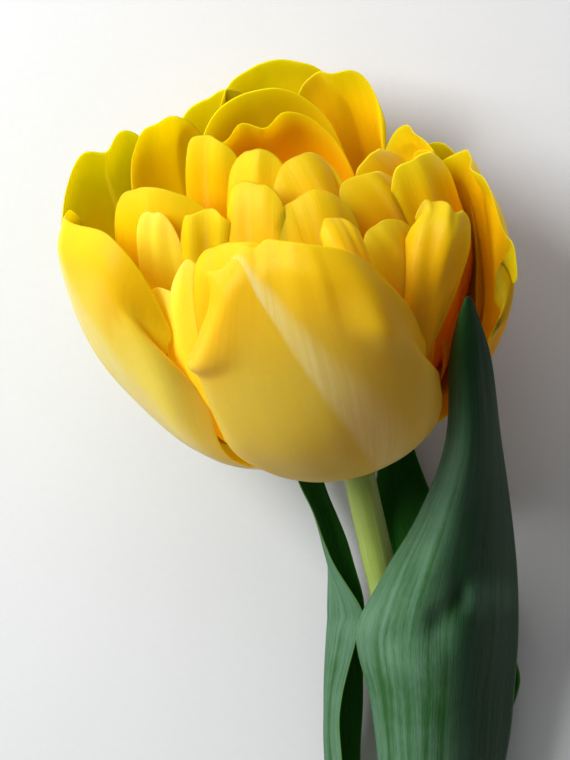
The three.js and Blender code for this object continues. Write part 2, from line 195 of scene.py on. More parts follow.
class Recipe:
    """A material that is put together node by node."""

    MIX_SIDES = (6, 7)  # the inputs where a Mix node takes its two colours
    MIX_RESULT = 2  # the output where it gives the mixed one

    def __init__(self, name: str) -> None:
        """Starts an empty material of that name."""
        self.material = bpy.data.materials.new(name)
        self.material.use_nodes = True
        self.tree = self.material.node_tree
        self.tree.nodes.clear()

    def node(
        self,
        kind: str,
        settings: dict[str, object] | None = None,
        sockets: dict[str | int, object] | None = None,
        output: str | int = 0,
    ) -> Wire:
        """Adds any node.

        Args:
            kind: the node's type.
            settings: its properties by name, such as a Math node's operation.
            sockets: the values, or the wires, of its inputs.
            output: the output that is returned.

        Returns:
            The wire of that output.
        """
        made = self.tree.nodes.new(kind)
        for key, value in (settings or {}).items():
            setattr(made, key, value)
        for key, value in (sockets or {}).items():
            if isinstance(value, Wire):
                self.tree.links.new(value.socket, made.inputs[key])
            else:
                made.inputs[key].default_value = value
        return Wire(self, made.outputs[output])

    def step(self, value: Wire, low: float, high: float) -> Wire:
        """A smooth step of a value from 0 at low to 1 at high, where low may be the larger."""
        settings = {"interpolation_type": "SMOOTHSTEP"}
        return self.node("ShaderNodeMapRange", settings, {"Value": value, "From Min": low, "From Max": high})

    def bell(self, offset: Wire, width: float) -> Wire:
        """A bell of height 1 where offset is 0."""
        return math.e ** ((offset / width) ** 2 * -1.0)

    def larger(self, one: Wire, other: Wire) -> Wire:
        """The larger of two values, point by point."""
        return one.maths("MAXIMUM", one, other)

    def noise(self, place: Wire, scale: float, detail: float = 2.0, rough: float = 0.5) -> Wire:
        """Cloudy noise, 0 to 1, at a place."""
        sockets = {"Vector": place, "Scale": scale, "Detail": detail, "Roughness": rough}
        return self.node("ShaderNodeTexNoise", {}, sockets, "Fac")

    def strands(
        self,
        place: tuple[Wire, Wire],
        seed: "Wire | float",
        across: float,
        along: float,
        detail: float = 2.0,
        rough: float = 0.5,
    ) -> Wire:
        """Noise that is drawn out along the piece.

        Args:
            place: u and v on the piece.
            seed: what makes one pattern differ from the next.
            across: how fine it is across the piece.
            along: how fine it is along it.
            detail: how many finer layers it has.
            rough: how strong they are.

        Returns:
            A value from 0 to 1.
        """
        u, v = place
        drawn = self.node("ShaderNodeCombineXYZ", {}, {"X": u * across, "Y": v * along, "Z": seed})
        return self.noise(drawn, 1.0, detail, rough)

    def across_and_up(self) -> tuple[Wire, Wire]:
        """u from -1 to 1 across the piece and v from 0 to 1 up it, of its own UV map."""
        uv = self.node("ShaderNodeUVMap", {"uv_map": "UVMap"})
        parts = self.node("ShaderNodeSeparateXYZ", {}, {"Vector": uv}, "X")
        up = Wire(self, parts.socket.node.outputs["Y"])
        return parts * 2.0 - 1.0, up

    def object_place(self) -> Wire:
        """The place on the piece, in metres."""
        return self.node("ShaderNodeTexCoord", output="Object")

    def seed(self) -> Wire:
        """The number that tells pieces with one finish apart."""
        return self.node("ShaderNodeAttribute", {"attribute_name": "seed"}, output="Fac")

    def tint(self, base: "Wire | Colour", other: "Wire | Colour", share: Wire) -> Wire:
        """Mixes a share of another colour into the base."""
        sockets: dict[str | int, object] = {0: share}
        for key, colour in zip(self.MIX_SIDES, (base, other)):
            sockets[key] = colour if isinstance(colour, Wire) else (*colour, 1.0)
        settings = {"data_type": "RGBA", "clamp_factor": True}
        return self.node("ShaderNodeMix", settings, sockets, self.MIX_RESULT)

    def relief(self, height: Wire, depth: float, strength: float) -> Wire:
        """A bumped normal, with depth in millimetres for a height of 1."""
        sockets = {"Height": height, "Distance": depth * MM, "Strength": strength}
        return self.node("ShaderNodeBump", {}, sockets, "Normal")

    def skin(
        self, colour: Wire, roughness: "Wire | float", normal: Wire, **constants: object
    ) -> bpy.types.Material:
        """Closes the material with one skin.

        Args:
            colour: the base colour.
            roughness: how dull it is.
            normal: the relief.
            constants: other values of the shader, with _ for a space.

        Returns:
            The finished material.
        """
        sockets: dict[str | int, object] = {"Base Color": colour, "Roughness": roughness, "Normal": normal}
        sockets.update({key.replace("_", " "): value for key, value in constants.items()})
        shader = self.node("ShaderNodeBsdfPrincipled", {}, sockets, "BSDF")
        end = self.tree.nodes.new("ShaderNodeOutputMaterial")
        self.tree.links.new(shader.socket, end.inputs["Surface"])
        return self.material


@dataclass(frozen=True)
class PetalFinish:
    """Satin petal skin with fine fibres, deeper at the root and pale at the thin margin. The deeper root is
    partly the petal's own colour and partly painted shade deep in the bloom; some finishes add painted shade
    in the upper right corner and a painted glow deep inside.
    """

    name: str
    blade: Colour
    root: Colour
    rim: Colour  # at the margin
    rib: Colour  # in the streak up the middle
    rib_share: float = 0.0  # strength of that streak
    rib_slant: float = 0.0  # how far it leans across for the whole height
    rib_bend: float = 1.0  # below 1 where it leans most near the tip, above 1 near the root
    rib_left: float = 1.0  # below 1 where its left edge is sharp
    rib_centre: float = 0.0  # where it meets the tip
    rib_width: float = 0.1
    low_share: float = 0.0  # strength of the same colour low on the blade
    root_end: float = 0.98  # how far up the root's colour reaches
    root_blend: float = 0.4  # the share of the height over which it fades
    # A duller colour, for random dull patches and for the painted shade of the upper right corner
    shade: Colour = (0.62, 0.36, 0.001)
    shade_share: float = 0.0  # strength of the dull patches
    corner_shade_share: float = 0.0  # strength of the painted shade, in the shade colour, in the upper right corner
    glow: Colour = BLACK  # painted glow: emission that stands in for light coming through the petals deep inside
    glow_end: float = 1.05  # how far up it reaches
    glow_blend: float = 0.5  # the share of the height over which it fades

    def material(self) -> bpy.types.Material:
        """Makes the material."""
        recipe = Recipe(self.name)
        u, v = recipe.across_and_up()
        seed = recipe.seed()
        fibres = recipe.strands((u, v), seed, across=9.0, along=1.1, detail=3.0, rough=0.6)
        threads = recipe.strands((u, v), seed + 7.0, across=45.0, along=2.0, rough=0.6)
        clouds = recipe.noise(recipe.object_place(), 60.0, 3.0)
        depth = v + (fibres - 0.5) * 0.08 + (clouds - 0.5) * 0.12

        # Towards the root the colour deepens: partly the petal's own colour, partly painted shade deep in the
        # bloom.
        above_root = recipe.step(depth, self.root_end - self.root_blend, self.root_end)
        colour = recipe.tint(self.root, self.blade, above_root)
        dull = recipe.step(clouds, 0.45, 0.75)
        colour = recipe.tint(colour, self.shade, dull * self.shade_share)
        if self.rib_share:
            streak = self.streak(recipe, u, v, threads)
            colour = recipe.tint(colour, self.rib, streak * self.rib_share)
        if self.low_share:
            low = recipe.step(v + (fibres - 0.5) * 0.7, 0.66, 0.25)
            patches = recipe.step(clouds + (fibres - 0.5) * 0.5, 0.3, 0.75)
            colour = recipe.tint(colour, self.rib, low * patches * self.low_share)
        pale_fibres = recipe.step(fibres, 0.45, 0.8) * 0.1
        colour = recipe.tint(colour, self.rim, pale_fibres)
        sides = recipe.step(abs(u), 0.66, 1.0) * 0.4
        top = recipe.step(v, 0.9, 1.0) * 0.6
        colour = recipe.tint(colour, self.rim, recipe.larger(sides, top))
        # Painted shade: the upper right corner darkens towards the shade colour.
        if self.corner_shade_share:
            high = recipe.step(v - u * 0.35 + (fibres - 0.5) * 0.12, 0.62, 0.68)
            right = recipe.step(u + (clouds - 0.5) * 0.3, 0.1, 0.45)
            colour = recipe.tint(colour, self.shade, high * right * self.corner_shade_share)

        light: dict[str, object] = {}
        # Painted glow: emission deep in the bloom, in place of light that comes through the petals.
        if any(self.glow):
            above_glow = recipe.step(depth, self.glow_end - self.glow_blend, self.glow_end)
            light["Emission_Color"] = recipe.tint(self.glow, BLACK, above_glow)
            light["Emission_Strength"] = 1.0
        return recipe.skin(
            colour,
            0.5 + (threads - 0.5) * 0.1,
            recipe.relief(fibres * 0.75 + threads * 0.25, 0.6, 0.22),
            Subsurface_Weight=0.75,
            Subsurface_Radius=(1.0, 0.75, 0.03),
            Subsurface_Scale=4 * MM,
            Specular_IOR_Level=0.12,
            **light,
        )

    def streak(self, recipe: Recipe, u: Wire, v: Wire, threads: Wire) -> Wire:
        """The pale streak from the root to the tip, which narrows upwards and is frayed by the threads.

        Args:
            recipe: the material that it belongs to.
            u: the place across the petal.
            v: the place up the petal.
            threads: the fine lines along the petal.

        Returns:
            Its strength, 0 to 1.
        """
        centre = self.rib_centre + (1.0 - v) ** self.rib_bend * self.rib_slant
        offset = (u - centre) / (self.rib_width * (2.2 - v * 2.0))
        left = recipe.step(offset, -1.5 * self.rib_left, -0.3 * self.rib_left)
        right = recipe.step(offset, 1.7, 0.2)
        frayed = 0.65 + recipe.step(threads, 0.35, 0.65) * 0.35
        return left * right * frayed


@dataclass(frozen=True)
class LeafFinish:
    """Waxy leaf skin with fine parallel veins and a bloom that lies on it in patches, with painted shade that
    darkens the right side and less wax towards the tip.
    """

    name: str
    green: Colour
    wax: Colour
    vein: Colour
    margin: Colour
    wax_share: float = 0.5
    deep: Colour | None = None  # the green of the shaded right side, where it differs
    wax_fade: float = 0.0  # share of the wax taken off the right side, as painted shade, and off the tip
    patch: Flat | None = None  # u and v of one more pale patch, in the wax colour

    def material(self) -> bpy.types.Material:
        """Makes the material."""
        recipe = Recipe(self.name)
        u, v = recipe.across_and_up()
        wander = (recipe.strands((u, v), 3.0, across=2.0, along=7.0) - 0.5) * 0.12
        line = (u + wander, v)
        ribs = recipe.strands(line, 1.0, across=9.0, along=2.2)
        veins = recipe.strands(line, 1.0, across=32.0, along=5.0, detail=3.0, rough=0.7)
        fine = recipe.strands(line, 5.0, across=90.0, along=60.0, rough=0.6)
        clouds = recipe.noise(recipe.object_place(), 55.0, 4.0, 0.6)

        dust = ribs * 0.5 + veins * 0.25 + clouds * 0.4 + fine * 0.2
        # Painted shade: the right side loses wax and veins and takes the deep green; the tip loses wax too.
        right = recipe.step(u + v * 1.25 + (ribs - 0.5) * 0.5, 0.42, 1.02)
        tip = recipe.step(v, 0.72, 0.86)
        wax = recipe.step(dust, 0.48, 0.82) * (1.0 - right * self.wax_fade) * (1.0 - tip * self.wax_fade)
        if self.patch:
            spot = recipe.bell(u - self.patch[0], 0.35) * recipe.bell(v - self.patch[1], 0.03)
            wax = recipe.larger(wax, spot * recipe.step(dust, 0.4, 0.8) * 0.6)

        colour = self.green if self.deep is None else recipe.tint(self.green, self.deep, right)
        colour = recipe.tint(colour, self.wax, wax * self.wax_share)
        vein_lines = recipe.step(veins, 0.52, 0.66) * (1.0 - right) * 0.4
        colour = recipe.tint(colour, self.vein, vein_lines)
        edge = recipe.step(abs(u), 0.965, 0.995) * 0.35
        colour = recipe.tint(colour, self.margin, edge)
        return recipe.skin(
            colour,
            0.46 + wax * 0.16,
            recipe.relief(ribs * 0.55 + veins * 0.3 + fine * 0.15, 1.6, 0.4),
            Subsurface_Weight=0.12,
            Subsurface_Radius=(0.4, 1.0, 0.2),
            Subsurface_Scale=1.5 * MM,
            Specular_IOR_Level=0.16,
        )


@dataclass(frozen=True)
class StemFinish:
    """Smooth stem skin, pale under a thin wax, with fine lines along it, and painted light and shade: lighter
    towards the bloom, darker towards the cut.
    """

    name: str
    lit: Colour  # near the bloom, with painted light
    deep: Colour  # near the cut, with painted shade; also the colour of the fine dots
    wax: Colour

    def material(self) -> bpy.types.Material:
        """Makes the material."""
        recipe = Recipe(self.name)
        u, v = recipe.across_and_up()
        place = recipe.object_place()
        lines = recipe.strands((u, v), 2.0, across=16.0, along=9.0, detail=3.0, rough=0.6)
        clouds = recipe.noise(place, 90.0, 3.0)
        dots = recipe.noise(place, 1500.0, 1.0)
        # Painted light and shade: lighter towards the bloom, darker towards the cut.
        paler = recipe.step(v, 0.1, 1.0) * 0.7 + (clouds - 0.5) * 0.5
        colour = recipe.tint(self.deep, self.lit, paler)
        colour = recipe.tint(colour, self.wax, recipe.step(lines, 0.45, 0.7) * 0.25)
        colour = recipe.tint(colour, self.deep, recipe.step(dots, 0.66, 0.8) * 0.25)
        return recipe.skin(
            colour,
            0.4 + clouds * 0.12,
            recipe.relief(lines, 0.8, 0.12),
            Subsurface_Weight=0.2,
            Subsurface_Radius=(0.7, 1.0, 0.25),
            Subsurface_Scale=2 * MM,
            Specular_IOR_Level=0.5,
        )


@dataclass(frozen=True)
class CutFinish:
    """The moist cut end of the stem: pale pith in a green ring with pin-sized vessels."""

    name: str
    pith: Colour
    ring: Colour
    vessel: Colour
    centre: Point
    radius: float

    def material(self) -> bpy.types.Material:
        """Makes the material."""
        recipe = Recipe(self.name)
        place = recipe.object_place()
        sockets = {0: place, 1: tuple(c * MM for c in self.centre)}
        offset = recipe.node("ShaderNodeVectorMath", {"operation": "DISTANCE"}, sockets, "Value")
        share = offset / (self.radius * MM)
        sockets = {"Vector": place, "Scale": 1300.0}
        cells = recipe.node("ShaderNodeTexVoronoi", {"feature": "F1"}, sockets, "Distance")
        mottle = recipe.noise(place, 1400.0)
        colour = recipe.tint(self.pith, self.vessel, recipe.step(cells, 0.28, 0.12) * 0.7)
        colour = recipe.tint(colour, self.ring, recipe.step(share + (mottle - 0.5) * 0.1, 0.72, 0.95))
        relief = recipe.relief(cells, 0.4, 0.5)
        return recipe.skin(
            colour, 0.3 + mottle * 0.2, relief, Subsurface_Weight=0.15, Subsurface_Scale=1 * MM
        )


@dataclass(frozen=True)
class FloorFinish:
    """Matt pale paper under the flower."""

    name: str
    colour: Colour
    grain_shade: float = 0.96  # the colour of its grain, as a share of its own

    def material(self) -> bpy.types.Material:
        """Makes the material."""
        recipe = Recipe(self.name)
        grain = recipe.noise(recipe.object_place(), 700.0, 3.0)
        shade = tuple(c * self.grain_shade for c in self.colour)
        colour = recipe.tint(self.colour, shade, grain)
        return recipe.skin(colour, 0.85, recipe.relief(grain, 0.05, 0.3))


Finish = PetalFinish | LeafFinish | StemFinish | CutFinish | FloorFinish


class Tone(Enum):
    """The colouring of a petal: its outer face and its inner face."""

    FLAMED = "flamed"
    CREAMY = "creamy"
    OLIVE = "olive"
    LIME = "lime"
    GOLD = "gold"
    # A lighter copy of gold, with painted light
    SUNNY = "sunny"
    HONEY = "honey"
    # A lighter copy of lime, with painted light
    LIT = "lit"
    AMBER = "amber"


# Colours of the petals
GOLD = (0.88, 0.46, 0.0005)
BRIGHT = (0.94, 0.60, 0.008)
# Deeper orange of the roots: partly the petals' own colour, partly painted shade of the crevices deep in the
# bloom.
DEEP_WITH_SHADE = (0.84, 0.30, 0.0003)
CREAM = (0.82, 0.58, 0.20)
# A painted glow, emitted deep in the bloom in place of light that comes through the petals.
WARM_GLOW = (0.10, 0.035, 0.0)

# Each finish takes its colours in the order blade, root, rim, rib
INNER = PetalFinish("petal_inner_face", GOLD, DEEP_WITH_SHADE, BRIGHT, CREAM, shade_share=0.15, glow=WARM_GLOW)
FINISHES: dict[Tone, tuple[PetalFinish, PetalFinish]] = {
    Tone.FLAMED: (
        PetalFinish(
            "petal_flamed", (0.80, 0.41, 0.001), (0.63, 0.43, 0.04), (0.88, 0.54, 0.006), (0.76, 0.57, 0.19),
            rib_share=0.95, rib_slant=0.88, rib_bend=0.58, rib_left=0.3, rib_centre=-0.44, rib_width=0.14,
            low_share=0.5, shade_share=0.2, corner_shade_share=0.6,
        ),
        INNER,
    ),
    Tone.CREAMY: (
        PetalFinish(
            "petal_creamy", (0.80, 0.47, 0.001), (0.74, 0.56, 0.07), BRIGHT, (0.78, 0.62, 0.24),
            rib_share=0.8, rib_slant=1.1, rib_bend=1.7, rib_centre=-0.14, rib_width=0.17, low_share=0.6,
            shade=(0.64, 0.35, 0.0005), shade_share=0.1, corner_shade_share=0.85,
        ),
        PetalFinish(
            "petal_creamy_face", GOLD, (0.70, 0.48, 0.002), BRIGHT, CREAM,
            shade_share=0.15, glow=(0.12, 0.07, 0.0),
        ),
    ),
    Tone.OLIVE: (
        PetalFinish(
            "petal_green_back", (0.46, 0.40, 0.001), (0.36, 0.40, 0.02), (0.62, 0.46, 0.002),
            (0.54, 0.52, 0.10), rib_share=0.8, low_share=0.6, shade_share=0.2,
        ),
        PetalFinish(
            "petal_green_face", (0.38, 0.40, 0.001), (0.60, 0.42, 0.001), (0.60, 0.48, 0.002),
            (0.70, 0.56, 0.06), rib_share=0.7, rib_width=0.035, root_end=1.0,
            shade=(0.33, 0.35, 0.001), shade_share=0.5,
        ),
    ),
    Tone.LIME: (
        PetalFinish(
            "petal_lime_back", (0.68, 0.44, 0.001), (0.46, 0.44, 0.01), BRIGHT, (0.60, 0.54, 0.08),
            rib_share=0.25, low_share=0.6, shade_share=0.2,
        ),
        PetalFinish(
            "petal_lime_face", (0.50, 0.36, 0.001), (0.80, 0.49, 0.001), (0.74, 0.52, 0.004),
            (0.50, 0.42, 0.002), rib_share=0.5, rib_width=0.16,
            shade=(0.52, 0.40, 0.001), shade_share=0.5, glow=WARM_GLOW,
        ),
    ),
    Tone.GOLD: (
        PetalFinish("petal_gold", GOLD, DEEP_WITH_SHADE, BRIGHT, CREAM, rib_share=0.08, shade_share=0.1),
        INNER,
    ),
    # Lighter copy of gold with painted light, and a painted glow.
    Tone.SUNNY: (
        PetalFinish(
            "petal_sunny", (0.96, 0.68, 0.03), (0.90, 0.54, 0.01), (0.97, 0.74, 0.08), CREAM,
            glow=(0.24, 0.12, 0.0), glow_end=1.25,
        ),
        INNER,
    ),
    # Lighter copy of lime with painted light, and a painted glow on the inner face.
    Tone.LIT: (
        PetalFinish("petal_lit", (0.70, 0.46, 0.001), (0.60, 0.46, 0.01), BRIGHT, CREAM, shade_share=0.2),
        PetalFinish(
            "petal_lit_face", (0.66, 0.46, 0.001), (0.84, 0.50, 0.001), BRIGHT, CREAM,
            shade=(0.58, 0.44, 0.001), shade_share=0.3, glow=(0.17, 0.10, 0.0), glow_end=1.5,
        ),
    ),
    Tone.HONEY: (
        PetalFinish("petal_honey", (0.84, 0.42, 0.0005), DEEP_WITH_SHADE, BRIGHT, CREAM, shade_share=0.2),
        PetalFinish(
            "petal_honey_face", (0.80, 0.40, 0.0005), (0.78, 0.32, 0.0003), BRIGHT, CREAM, shade_share=0.3
        ),
    ),
    Tone.AMBER: (
        PetalFinish("petal_amber", (0.86, 0.42, 0.001), DEEP_WITH_SHADE, BRIGHT, CREAM, shade_share=0.1),
        PetalFinish(
            "petal_amber_face", (0.88, 0.40, 0.001), DEEP_WITH_SHADE, BRIGHT, CREAM,
            shade_share=0.1, glow=(0.3, 0.1, 0.0),
        ),
    ),
}
RECEPTACLE_FINISH = StemFinish(
    "receptacle_skin", lit=(0.62, 0.52, 0.06), deep=(0.40, 0.48, 0.09), wax=(0.46, 0.56, 0.26)
)
STEM_FINISH = StemFinish(
    "stem_skin", lit=(0.42, 0.50, 0.10), deep=(0.10, 0.22, 0.015), wax=(0.46, 0.56, 0.26)
)
WAXY_LEAF = LeafFinish(
    "leaf_waxy",
    green=(0.016, 0.085, 0.012),
    wax=(0.13, 0.25, 0.165),
    vein=(0.02, 0.09, 0.012),
    margin=(0.16, 0.26, 0.10),
    wax_share=0.75,
    # deep and wax_fade paint shade on the right side; wax_fade also thins the wax towards the tip.
    deep=(0.004, 0.034, 0.007),
    wax_fade=0.9,
    patch=(0.62, 0.525),
)
GREEN_LEAF = LeafFinish(
    "leaf_green",
    green=(0.006, 0.085, 0.001),
    wax=(0.015, 0.13, 0.004),
    vein=(0.015, 0.13, 0.002),
    margin=(0.20, 0.36, 0.08),
)


class Wardrobe:
    """Makes each finish once and hands it to every piece that wears it."""

    def __init__(self) -> None:
        """Starts with no materials."""
        self.made: dict[str, bpy.types.Material] = {}

    def material(self, finish: Finish) -> bpy.types.Material:
        """The material of a finish."""
        if finish.name not in self.made:
            self.made[finish.name] = finish.material()
        return self.made[finish.name]


# Modelling


def new_piece(name: str) -> bpy.types.Object:
    """Names the primitive that was just added and its mesh."""
    piece = bpy.context.object
    piece.name = name
    piece.data.name = name
    return piece


def add_grid(name: str, columns: int, rows: int) -> bpy.types.Object:
    """Adds a flat grid from -1 to 1 both ways, with everything else deselected."""
    bpy.ops.object.select_all(action="DESELECT")
    bpy.ops.mesh.primitive_grid_add(x_subdivisions=columns, y_subdivisions=rows, size=2, calc_uvs=True)
    return new_piece(name)


def apply_modifier(piece: bpy.types.Object, kind: str, **settings: object) -> None:
    """Adds a modifier with these settings and applies it."""
    modifier = piece.modifiers.new(kind.title(), kind)
    for key, value in settings.items():
        setattr(modifier, key, value)
    bpy.ops.object.modifier_apply(modifier=modifier.name)


def start_edit() -> None:
    """Enters edit mode with the whole mesh selected and its doubles merged."""
    bpy.ops.object.mode_set(mode="EDIT")
    bpy.ops.mesh.select_all(action="SELECT")
    bpy.ops.mesh.remove_doubles(threshold=WELD)


def end_edit() -> None:
    """Turns every face outwards, leaves edit mode and smooths the shading."""
    bpy.ops.mesh.select_all(action="SELECT")
    bpy.ops.mesh.normals_make_consistent(inside=False)
    bpy.ops.object.mode_set(mode="OBJECT")
    bpy.ops.object.shade_smooth()


def settle(piece: bpy.types.Object, node: str) -> None:
    """Makes a finished piece stand for its node, which it hides, and ride on the part."""
    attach(piece, "root")
    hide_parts(node)
    LOG.info("%s: %d faces", piece.name, len(piece.data.polygons))


def mark_seed(piece: bpy.types.Object, seed: float) -> None:
    """Writes one number on every point of the piece, for its finish to read."""
    layer = piece.data.attributes.new("seed", "FLOAT", "POINT")
    layer.data.foreach_set("value", [seed] * len(piece.data.vertices))


@dataclass(frozen=True)
class Swell:
    """A soft rise, or a hollow where height is negative.

    It lies at u and v of a blade and stands out of its outer face. As a lobe it widens the margin on
    the side that u names, and in a crown it raises the top edge.
    """

    u: float
    v: float
    wide: float  # how far it reaches to either side, in u
    tall: float  # how far it reaches up and down, in v
    height: float
    below: float = 0.0  # how far it reaches down, where that differs from how far it reaches up

    def at(self, u: float, v: float) -> float:
        """Its height there."""
        reach = self.below if self.below and v < self.v else self.tall
        return self.height * hill(u - self.u, self.wide) * hill(v - self.v, reach)


@dataclass(kw_only=True)
class Blade:
    """A thin living sheet: a grid that a formula places, thickened, with fine rounded margins."""

    name: str
    thickness: float = 0.6
    margin_share: float = 0.4  # thickness of the margin, as a share
    side_margin: float = 0.3  # how far in from a side, in u, the full thickness begins
    top_margin: float = 0.2  # how far down from the top, in v, it begins
    columns: int = 20
    rows: int = 22
    swells: tuple[Swell, ...] = ()

    def surface(self) -> Place:
        """The middle of the sheet as a function of u, -1 to 1 across it, and v, 0 to 1 up it."""
        raise NotImplementedError

    def spread(self, x: float) -> float:
        """u of a grid column at x, both from -1 to 1."""
        return x

    def build(self, outer: bpy.types.Material, inner: bpy.types.Material) -> bpy.types.Object:
        """Models the sheet.

        Args:
            outer: the finish of its outer face and its margin.
            inner: the finish of its inner face.

        Returns:
            The piece.
        """
        piece = add_grid(self.name, self.columns, self.rows)
        place = self.surface()
        body = piece.vertex_groups.new(name="body")
        lowest = self.thickness / 2
        for vertex in piece.data.vertices:
            u, v = self.spread(vertex.co.x), (vertex.co.y + 1) / 2
            at = place(u, v)
            at.z = max(at.z, lowest)
            vertex.co = at * MM
            inside = min(ease(1 - abs(u), 0, self.side_margin), ease(1 - v, 0, self.top_margin))
            body.add([vertex.index], inside, "REPLACE")
        piece.data.materials.append(outer)
        piece.data.materials.append(inner)
        apply_modifier(
            piece,
            "SOLIDIFY",
            thickness=self.thickness * MM,
            offset=0,
            material_offset=1,
            vertex_group="body",
            thickness_vertex_group=self.margin_share,
        )
        apply_modifier(piece, "SUBSURF", levels=1, render_levels=1)
        piece.vertex_groups.clear()
        bpy.ops.object.shade_smooth()
        return piece


@dataclass(kw_only=True)
class Petal(Blade):
    """One petal of the bloom, with the shape of its middle line, its outline and its relief.

    turn is degrees round the axis from the front, positive to the right. reach and rise are how far
    from the axis and how high above the neck the middle of the top edge is, and belly is how far out
    the blade swings below it. curl is degrees that the tip turns out, negative in. cup is the radius
    of the cross curve. face is degrees that the blade is twisted to the right as it rises, and lean
    degrees that it falls over to the right.
    """

    turn: float
    reach: float
    rise: float
    belly: float
    width: float
    curl: float
    cup: float
    face: float = 0.0
    lean: float = 0.0
    apex: float = 0.0  # where across the top edge is highest
    blunt: float = 2.2  # 1 for a pointed tip, 2 for a round one, more for a flat one
    taper: float = 0.1  # share of the width lost towards the top
    spoon: float = 0.0  # share of the width lost below a broad tip
    notch: float = 0.0  # depth of the notch in the tip
    notch_width: float = 0.14
    fullest: float = 0.72  # v from which it has its whole width
    root_width: float = 0.1  # share of the width at its root
    pull: float = 0.36  # share of the rise over which the tip sets the middle line's direction
    wave: float = 0.6  # height of the ruffles along the margin
    broad_waves: int = 4  # how many of them lie round the margin
    fine_waves: int = 11
    fine_share: float = 0.3  # height of the fine ones, as a share
    crinkle: float = 1.0  # strength of its uneven folds
    lip: float = 2.4  # how far the margin rolls in
    lip_reach: float = 7.0  # how far in from the margin that begins, at most
    groove: float = 0.1  # depth of the furrow up the middle
    lobes: tuple[Swell, ...] = ()
    crown: tuple[Swell, ...] = ()
    tone: Tone = Tone.GOLD
    order: int = 0
    inwards: float = 0.0  # 0 for the outermost petal and nearly 1 for the innermost
    root_out: Flat = (5.8, 1.8)  # its root's distance from the axis, outermost and innermost petal
    root_up: Flat = (1.6, 6.6)  # its root's height above the neck, the same way

    @property
    def phase(self) -> float:
        """What makes its ruffles and folds differ from those of the other petals."""
        return self.order * PHASE_STEP

    def spread(self, x: float) -> float:
        """Sets the columns closer towards the margins, so that the tip comes out round."""
        return math.sin(math.pi / 2 * x)

    def midline(self) -> tuple[Flat, ...]:
        """The control points of the curve up its middle: how far out and how far up each is."""
        root_up = lerp(*self.root_up, self.inwards)
        curl = math.radians(self.curl)
        pull = self.pull * self.rise
        return (
            (lerp(*self.root_out, self.inwards), root_up),
            (self.belly, root_up + 1),
            (self.reach - pull * math.sin(curl), self.rise - pull * math.cos(curl)),
            (self.reach, self.rise),
        )

    def top_edge(self, u: float) -> float:
        """How high the top edge is at u, as a share of the middle line."""
        from_apex = (u - self.apex) / (1 + abs(self.apex))
        arch = (1 - 0.99 * abs(from_apex) ** self.blunt) ** (1 / self.blunt)
        drop = 0.5 * self.width * (1 - arch) + self.notch * hill(u, self.notch_width)
        drop -= sum(peak.at(u, 1) for peak in self.crown)
        uneven = 0.02 * drift(u * 2.3, self.phase, 4.0) * (1 - u * u)
        return 1 - drop / self.rise + uneven

    def half_width(self, u: float, v: float) -> float:
        """Half the width at v on the side of u, with the lobes of that margin."""
        side = math.copysign(1, u)
        fill = math.sin((math.pi / 2) * min(1.0, (v + 0.02) / self.fullest)) ** 0.9
        half = (self.width / 2) * lerp(self.root_width, 1, fill) * (1 - self.taper * ease(v, 0.6, 1))
        half *= 1 - self.spoon * (1 - ease(v, 0.5, 0.9))
        half *= 1 + 0.035 * drift(v * 5, 3 * side, self.phase) * ease(v, 0.2, 0.5)
        return half + sum(lobe.at(side, v) for lobe in self.lobes) * abs(u)

    def ruffle(self, u: float, v: float) -> float:
        """How far the margin waves out, with broad waves and fine ones on them."""
        margin = max(abs(u) ** 3, ease(v, self.fullest, 1) * 0.8)
        around = math.atan2(u, v - 0.4)
        broad = margin * math.sin(self.broad_waves * around + self.phase) * ease(v, 0.15, 0.6)
        fine = self.fine_share * margin**2 * math.sin(self.fine_waves * around + self.phase * 1.7)
        return self.wave * (broad + fine)

    def relief(self, u: float, v: float, half: float) -> float:
        """How far the skin stands out: its rolled margin, furrow, folds and swells.

        Args:
            u: the place across.
            v: the place up.
            half: half the width there.

        Returns:
            The height over the smooth blade.
        """
        to_side = (1 - abs(u)) * half + 0.01
        to_top = (1 - v) * self.rise + 0.01
        to_margin = (to_side**-3 + to_top**-3) ** (-1 / 3)
        near = 1 - ease(to_margin, 0, min(self.lip_reach, 0.24 * self.width))
        rolled = -self.lip * near**2 * ease(v, 0.3, 0.7)
        furrow = -self.groove * hill(u - 0.3 * self.apex, 0.07) * ease(v, 0.1, 0.5)
        creases = 0.12 * self.crinkle * drift(u * 7, v * 1.6, self.phase) * ease(v, 0.1, 0.4)
        folds = 0.9 * self.crinkle * drift(u * 1.5, v * 3.1, self.phase + 9) * ease(v, 0.2, 0.5)
        return rolled + furrow + creases + folds + sum(swell.at(u, v) for swell in self.swells)

    def surface(self) -> Place:
        """The middle of the petal."""
        midline = self.midline()
        angle = math.radians(self.turn)
        radial = outward(angle)
        full_lean = math.radians(self.lean)
        full_sway = 0.6 * self.rise * math.tan(full_lean)

        def at(u: float, v: float) -> Vector:
            """The point of the middle surface."""
            share = min(1.0, v * self.top_edge(u))
            (out, up), (run, climb) = bezier(midline, share)
            half = self.half_width(u, v)
            radius = max(self.cup, half * 0.85)
            bend = u * half / radius
            facing = outward(angle + math.radians(self.face) * ease(v, 0, 0.7))
            across = AXIS.cross(facing)
            normal = facing * climb - AXIS * run
            along = facing * run + AXIS * climb
            skin = normal * math.cos(bend) + across * math.sin(bend)
            lean = full_lean * share
            aside = radius * math.sin(bend)
            return (
                NECK
                + radial * out
                + AXIS * up
                + across * (aside * math.cos(lean) + full_sway * share * share)
                - along * (aside * math.sin(lean))
                + normal * (radius * (math.cos(bend) - 1) + self.ruffle(u, v))
                + skin * self.relief(u, v, half)
            )

        return at


@dataclass(kw_only=True)
class OuterPetal(Petal):
    """A broad petal of the outermost layer."""

    columns: int = 30
    rows: int = 34


